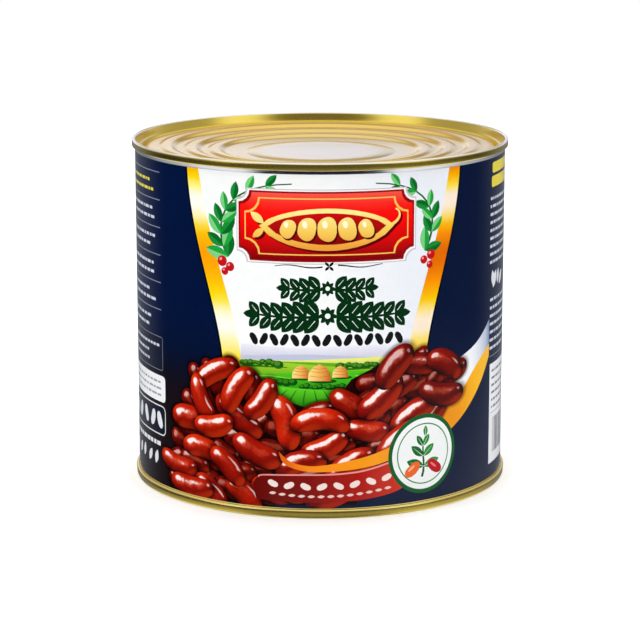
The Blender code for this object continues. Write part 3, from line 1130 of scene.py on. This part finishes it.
def bean_inks():
    """Printed beans modelled in red: lit from the upper left, glossy and dark at their rims."""
    paint = Paint("printed_beans")
    where = paint.place()
    along, across, arc = bean_axes(paint, "bean_place")
    angle, tone, warmth = paint.parts(paint.attribute("bean_turn").outputs["Vector"])
    total = paint.math("ADD", paint.math("POWER", paint.math("ABSOLUTE", along), BEAN_ROUND_ALONG),
                       paint.math("POWER", paint.math("ABSOLUTE", across), BEAN_ROUND_ACROSS), clamp=True)
    rise = paint.math("SQRT", paint.math("SUBTRACT", 1.0, total))
    wander = paint.noise(where, 230.0, 2.0)
    lean_along = paint.math("MULTIPLY", paint.signed_power(along, 3.0), 0.85)
    lean_across = paint.math("ADD", paint.signed_power(across, 1.2),
                             paint.spread(wander, 0.3, 0.7, -0.09, 0.09))
    turned = paint.math("ADD", angle, arc)
    cosine, sine = paint.math("COSINE", turned), paint.math("SINE", turned)
    lean = (paint.math("SUBTRACT", paint.math("MULTIPLY", lean_along, cosine),
                       paint.math("MULTIPLY", lean_across, sine)),
            paint.math("ADD", paint.math("MULTIPLY", lean_along, sine),
                       paint.math("MULTIPLY", lean_across, cosine)), rise)
    length = paint.math("MAXIMUM", paint.far(*lean), 0.05)
    lit, glint, side_glint, bounce = [
        paint.math("DIVIDE", paint.dot(lean, light), length)
        for light in (LIGHT_ON_BEANS, MAIN_GLINT, SIDE_GLINT, LOW_BOUNCE)]
    grain = paint.spread(paint.noise(where, 700.0, 4.0, 0.65), 0.3, 0.7, -1.0, 1.0)
    body = paint.math("MULTIPLY", paint.spread(lit, -0.22, 1.02, 0.0, 0.98), tone)
    body = paint.math("ADD", body, paint.math("MULTIPLY", grain, 0.035))
    cool = paint.ramp(body, [(0.0, ink(16, 0, 2)), (0.30, ink(56, 2, 2)), (0.55, ink(104, 5, 3)),
                             (0.78, ink(146, 12, 5)), (1.0, ink(196, 28, 12))])
    warm = paint.ramp(body, [(0.0, ink(30, 2, 0)), (0.30, ink(84, 6, 1)), (0.55, ink(142, 16, 1)),
                             (0.78, ink(190, 30, 2)), (1.0, ink(232, 58, 8))])
    colour = paint.mix(warmth, cool, warm)
    bounced = paint.math("MULTIPLY", paint.spread(bounce, 0.70, 0.97, 0.0, 0.55, smooth=True), tone)
    colour = paint.mix(bounced, colour, (*ink(214, 50, 12), 1.0))
    rim = paint.ramp(paint.spread(rise, 0.0, 0.38, 0.0, 1.0, smooth=True),
                     [(0.0, (0.30, 0.16, 0.16)), (1.0, (1.0, 1.0, 1.0))])
    colour = paint.mix(1.0, colour, rim, "MULTIPLY")
    colour = soft_shade(paint, colour)
    glint = paint.math("ADD", glint, paint.math("MULTIPLY", grain, 0.012))
    sheen = paint.math("MULTIPLY", paint.spread(glint, 0.90, 0.985, 0.0, 0.50, smooth=True), tone)
    spot = paint.spread(glint, 0.957, 0.989, 0.0, 1.0, smooth=True)
    spot = paint.math("MAXIMUM", spot, paint.spread(side_glint, 0.985, 0.999, 0.0, 0.5, smooth=True))
    spot = paint.math("MULTIPLY", spot, paint.spread(tone, 0.54, 0.76, 0.0, 1.0))
    colour = paint.mix(sheen, colour, (*ink(240, 96, 60), 1.0))
    colour = paint.mix(spot, colour, (*ink(255, 234, 232), 1.0))
    paint.set(Base_Color=colour)
    lacquer_coat(paint)
    return paint.material


def gold_lacquer():
    """Gold-lacquered tinplate: a painted reflection pales the middle of the panel and a painted highlight
    runs pale along the seam's crest and hem, with fine rolling lines on the panel and a glossy clear coat."""
    paint = Paint("gold_lacquer")
    lines = paint.noise(paint.place((1.0, 16.0, 1.0)), 90.0, 4.0, 0.6)
    mottle = paint.noise(paint.place(), 30.0, 4.0, 0.6)
    x, y, z = paint.parts(paint.place())
    true_radius = paint.far(x, y)
    radius = paint.math("ADD", true_radius, paint.spread(mottle, 0.3, 0.7, -0.0015, 0.0015))
    # Painted reflection: the gold is pale and whitish out to about 16 mm, fading to full gold by about 44
    # mm
    gold = paint.ramp(paint.math("MULTIPLY", radius, 10.0), [
        (0.16, (0.87, 0.77, 0.54)), (0.31, (0.88, 0.71, 0.34)), (0.44, (0.90, 0.66, 0.20)),
        (0.73, (0.93, 0.62, 0.10)), (0.755, (0.88, 0.67, 0.11))])
    height = paint.math("MAXIMUM", z, 0.0008)
    depth = paint.math("MINIMUM", height, paint.math("SUBTRACT", CAN_HEIGHT * MM, z))
    depth = paint.math("MULTIPLY", depth, 100.0)
    # Painted highlight: pale on the top seam's crest and in a thin line on each hem, where the rounded
    # edges catch light
    crest_and_hem_highlight = paint.ramp(depth, [(0.036, (0.95,) * 3), (0.074, (0.0,) * 3), (0.286, (0.0,) * 3),
                              (0.296, (0.45,) * 3), (0.306, (0.45,) * 3), (0.314, (0.05,) * 3)])
    on_seam = paint.spread(true_radius, 0.0768, 0.0771, 0.0, 1.0)
    colour = paint.mix(paint.math("MULTIPLY", crest_and_hem_highlight, on_seam), gold, (0.98, 0.96, 0.90, 1.0))
    on_panel = paint.spread(radius, 0.070, 0.074, 1.0, 0.0, smooth=True)
    streaks = paint.math("MULTIPLY", paint.spread(lines, 0.3, 0.7, -0.03, 0.03), on_panel)
    smoothness = paint.spread(on_panel, 0.0, 1.0, 0.24, 0.17)
    uneven = paint.ramp(mottle, [(0.3, (0.95, 0.95, 0.94)), (0.7, (1.0, 1.0, 1.0))])
    paint.set(Base_Color=paint.mix(1.0, colour, uneven, "MULTIPLY"), Metallic=1.0,
              Coat_Weight=paint.spread(on_panel, 0.0, 1.0, 0.5, 0.15), Coat_Roughness=0.06, Coat_IOR=1.5,
              Roughness=paint.math("ADD", smoothness, streaks))
    paint.set(Normal=paint.bump(mottle, 0.05, 0.0005))
    return paint.material


def bare_tin():
    """Bright bare tinplate with faint lines across it."""
    paint = Paint("bare_tinplate")
    lines = paint.noise(paint.place((1.0, 1.0, 14.0)), 260.0, 4.0, 0.6)
    base = paint.ramp(lines, [(0.3, (0.80, 0.81, 0.83)), (0.7, (0.88, 0.89, 0.90))])
    paint.set(Base_Color=base, Metallic=1.0, Roughness=paint.spread(lines, 0.3, 0.7, 0.10, 0.20))
    paint.set(Normal=paint.bump(lines, 0.05, 0.00004))
    return paint.material


def weld_steel():
    """The welded lap, duller and darker than the sheet, with fine cross ripples."""
    paint = Paint("weld_steel")
    ripple = paint.noise(paint.place((1.0, 1.0, 9.0)), 420.0, 3.0, 0.6)
    base = paint.ramp(ripple, [(0.3, (0.30, 0.31, 0.34)), (0.7, (0.48, 0.49, 0.52))])
    paint.set(Base_Color=base, Metallic=1.0, Roughness=paint.spread(ripple, 0.3, 0.7, 0.30, 0.46))
    paint.set(Normal=paint.bump(ripple, 0.35, 0.00012))
    return paint.material


# The studio

FLOOR_RADIUS = 1.3


def make_floor():
    """A round pale floor. The tin's gloss shows the studio and not the floor."""
    shape = bmesh.new()
    bmesh.ops.create_circle(shape, cap_ends=True, segments=96, radius=FLOOR_RADIUS)
    mesh = bpy.data.meshes.new("studio_floor")
    shape.to_mesh(mesh)
    shape.free()
    paint = Paint("pale_floor")
    # The floor also glows faintly, a painted light that lightens the tin's shadow on it
    paint.set(Base_Color=(0.96, 0.96, 0.97, 1.0), Roughness=0.7, Emission_Color=(1.0, 1.0, 1.0, 1.0),
              Emission_Strength=0.06)
    mesh.materials.append(paint.material)
    floor = bpy.data.objects.new("studio_floor", mesh)
    bpy.context.collection.objects.link(floor)
    floor.visible_glossy = False


# The studio's light by direction. Heights are sines of the angle up, and depths run from
# -1 in front of the tin to 1 behind it; each stop has a colour.
SKY_LEVEL = ((-1.0, (0.02,) * 3), (-0.66, (0.02,) * 3), (-0.60, (1.1,) * 3), (-0.40, (1.1,) * 3),
             (-0.25, (0.50,) * 3), (0.50, (0.50,) * 3), (0.85, (0.98, 1.0, 1.20)), (1.0, (0.98, 1.0, 1.20)))
SKY_LOW = ((-1.0, (0.13,) * 3), (-0.86, (0.13,) * 3), (-0.72, (1.15,) * 3), (-0.42, (1.15,) * 3),
           (-0.25, (0.42,) * 3), (0.50, (0.42,) * 3), (0.85, (0.98, 1.0, 1.20)), (1.0, (0.98, 1.0, 1.20)))
SKY_WARM = (0.52, 0.41, 0.175, 1.0)
SKY_RIGHT = (0.76, 0.78, 0.84, 1.0)
SKY_HIGH = ((0.30, (0.60, 0.48, 0.23)), (0.46, (0.76, 0.68, 0.48)), (0.62, (0.90, 0.87, 0.80)),
            (0.82, (0.96, 0.96, 0.96)), (1.0, (1.0, 1.0, 1.0)))
GROUND_FRONT = ((-0.40, (0.50,) * 3), (-0.298, (0.42,) * 3), (-0.272, (0.03,) * 3), (-0.18, (0.015,) * 3),
                (-0.15, (0.09,) * 3), (0.0, (0.09,) * 3))
GROUND_LEFT = ((-0.40, (0.42,) * 3), (-0.31, (0.30,) * 3), (-0.29, (0.02,) * 3), (-0.18, (0.01,) * 3),
               (0.0, (0.015,) * 3))
GROUND_RIGHT = ((-0.40, (0.46,) * 3), (-0.28, (0.38,) * 3), (-0.255, (0.24,) * 3), (-0.21, (0.035,) * 3),
                (0.0, (0.015,) * 3))
GROUND_BEHIND = (0.22, 0.235, 0.255, 1.0)
GROUND_STEEP_FRONT = (0.01, 0.01, 0.02, 1.0)
GROUND_STEEP = (0.95, 0.95, 1.0, 1.0)
GROUND_UNDER = (0.45, 0.45, 0.46, 1.0)


def make_world():
    """Soft light: dark in front of the tin, white at the sides and above, warm low behind it."""
    world = bpy.data.worlds.new("studio")
    bpy.context.scene.world = world
    world.use_nodes = True
    tree = world.node_tree
    nodes, link = tree.nodes, tree.links.new

    def blend(share, first, second, way="MIX"):
        made = nodes.new("ShaderNodeMix")
        made.data_type = "RGBA"
        made.blend_type = way
        for value, socket in ((share, made.inputs[0]), (first, made.inputs[6]), (second, made.inputs[7])):
            if isinstance(value, bpy.types.NodeSocket):
                link(value, socket)
            else:
                socket.default_value = value
        return made.outputs[2]

    def step(value, low, high):
        made = nodes.new("ShaderNodeMapRange")
        made.interpolation_type = "SMOOTHSTEP"
        made.inputs["From Min"].default_value = low
        made.inputs["From Max"].default_value = high
        link(value, made.inputs["Value"])
        return made.outputs["Result"]

    def both(first, second):
        made = nodes.new("ShaderNodeMath")
        made.operation = "MULTIPLY"
        link(first, made.inputs[0])
        link(second, made.inputs[1])
        return made.outputs[0]

    def steps(value, stops, low, span=1.0):
        made = nodes.new("ShaderNodeMapRange")
        made.inputs["From Min"].default_value = low
        made.inputs["From Max"].default_value = low + span
        link(value, made.inputs["Value"])
        ramp = nodes.new("ShaderNodeValToRGB")
        link(made.outputs["Result"], ramp.inputs[0])
        while len(ramp.color_ramp.elements) < len(stops):
            ramp.color_ramp.elements.new(1.0)
        for element, (at, colour) in zip(ramp.color_ramp.elements, stops):
            element.position = (at - low) / span
            element.color = (*colour, 1.0)
        return ramp.outputs[0]

    where = nodes.new("ShaderNodeTexCoord")
    split = nodes.new("ShaderNodeSeparateXYZ")
    link(where.outputs["Generated"], split.inputs[0])
    right, back, up = split.outputs
    low_sky = blend(step(up, 0.03, 0.09), steps(back, SKY_LEVEL, -1.0, 2.0),
                    steps(back, SKY_LOW, -1.0, 2.0))
    low_sky = blend(both(step(up, 0.19, 0.29), step(back, 0.55, 0.80)), low_sky, SKY_WARM)
    shaded = blend(step(right, -0.03, 0.07), (1.0, 1.0, 1.0, 1.0), SKY_RIGHT)
    low_sky = blend(step(back, 0.60, 0.90), low_sky, blend(1.0, low_sky, shaded, "MULTIPLY"))
    above = blend(step(up, 0.35, 0.50), low_sky, steps(up, SKY_HIGH, 0.0))
    ground = blend(step(right, -0.1, 0.5), steps(up, GROUND_LEFT, -1.0), steps(up, GROUND_RIGHT, -1.0))
    ground = blend(step(back, -0.90, -0.75), steps(up, GROUND_FRONT, -1.0), ground)
    ground = blend(step(back, 0.30, 0.92), ground, GROUND_BEHIND)
    steep = blend(step(back, -0.66, -0.50), GROUND_STEEP_FRONT, GROUND_STEEP)
    steep = blend(step(up, -0.86, -0.76), GROUND_UNDER, steep)
    below = blend(step(up, -0.50, -0.42), steep, ground)
    whole = blend(step(up, -0.03, 0.03), below, above)
    seen = nodes.new("ShaderNodeLightPath")
    shown = blend(seen.outputs["Is Camera Ray"], whole, (1.0, 1.0, 1.0, 1.0))
    link(shown, nodes["Background"].inputs["Color"])


def add_lamp(name, place, aim, size, power, colour=(1.0, 1.0, 1.0)):
    """A square soft lamp that looks at a point."""
    lamp = bpy.data.lights.new(name, "AREA")
    lamp.energy = power
    lamp.color = colour
    lamp.shape = "RECTANGLE"
    lamp.size, lamp.size_y = size
    holder = bpy.data.objects.new(name, lamp)
    holder.location = place
    holder.rotation_euler = (Vector(aim) - Vector(place)).to_track_quat("-Z", "Y").to_euler()
    bpy.context.collection.objects.link(holder)
    holder.visible_glossy = False


CAMERA_DISTANCE = 1.0044
CAMERA_HEIGHT = 0.2817
CAMERA_PITCH = math.radians(77.78)
CAMERA_LENS = 136.1


def add_camera():
    """The view of the photo: from the front, a little above the lid."""
    lens = bpy.data.cameras.new("camera")
    lens.lens = CAMERA_LENS
    lens.sensor_width = 36.0
    camera = bpy.data.objects.new("camera", lens)
    camera.location = (0.0, -CAMERA_DISTANCE, CAMERA_HEIGHT)
    camera.rotation_euler = (CAMERA_PITCH, 0.0, 0.0)
    bpy.context.collection.objects.link(camera)
    bpy.context.scene.camera = camera


# Building the tin

def make_wall(tin):
    """The tinplate wall, its weld and the printed parts: each half is printed alike."""
    turned_piece("tin_wall", wall_profile(), 180, tin, "can_body")
    side_weld(weld_steel())
    sheet = draw_sheet()
    corners, cells = cut_sheet(sheet)
    materials = (flat_inks(), bean_inks())
    edge = FOLD * FOLDS / 4
    parts = {"left": (-1e9, -edge), "middle": (-edge, edge), "right": (edge, 1e9)}
    for half, turn in (("front", FRONT_ANGLE), ("back", FRONT_ANGLE + math.pi)):
        low = -1e9 if half == "front" else -HALF_TURN / 2 + WELD_MARGIN
        high = 1e9 if half == "back" else HALF_TURN / 2 - WELD_MARGIN
        for part, (start, end) in parts.items():
            chosen = []
            for cell in cells:
                middle = sum(corners[index][0] for index in cell[0]) / 3
                if max(start, low) < middle < min(end, high):
                    chosen.append(cell)
            printed_piece(f"print_{half}_{part}", corners, chosen, sheet, turn, materials)


def make_ends():
    """The two gold ends, each with its recess facing out."""
    gold = gold_lacquer()
    top = [(radius, CAN_HEIGHT - depth) for radius, depth in end_profile(0.0, SEAM_HEIGHT, TOP_HEM_ROUND)]
    turned_piece("top_lid", top, TOP_STEPS, gold, "top_end")
    bottom = end_profile(BOTTOM_TAPER, BOTTOM_HEM, BOTTOM_HEM_ROUND)
    turned_piece("bottom_lid", bottom, BOTTOM_STEPS, gold, "bottom_end")


make_wall(bare_tin())
make_ends()
make_floor()
make_world()
add_lamp("key_lamp", (-1.1, -1.3, 1.2), (0, 0, 0.07), (1.0, 1.0), 4.1, (0.95, 0.98, 1.0))
add_lamp("fill_lamp", (1.2, -1.1, 0.9), (0, 0, 0.07), (0.8, 0.8), 0.4, (0.85, 0.93, 1.0))
add_lamp("top_lamp", (0.0, 0.4, 2.0), (0, 0.2, 0.0), (3.0, 3.0), 46.5, (0.94, 0.97, 1.0))
add_camera()
bpy.context.scene.view_settings.view_transform = "Standard"
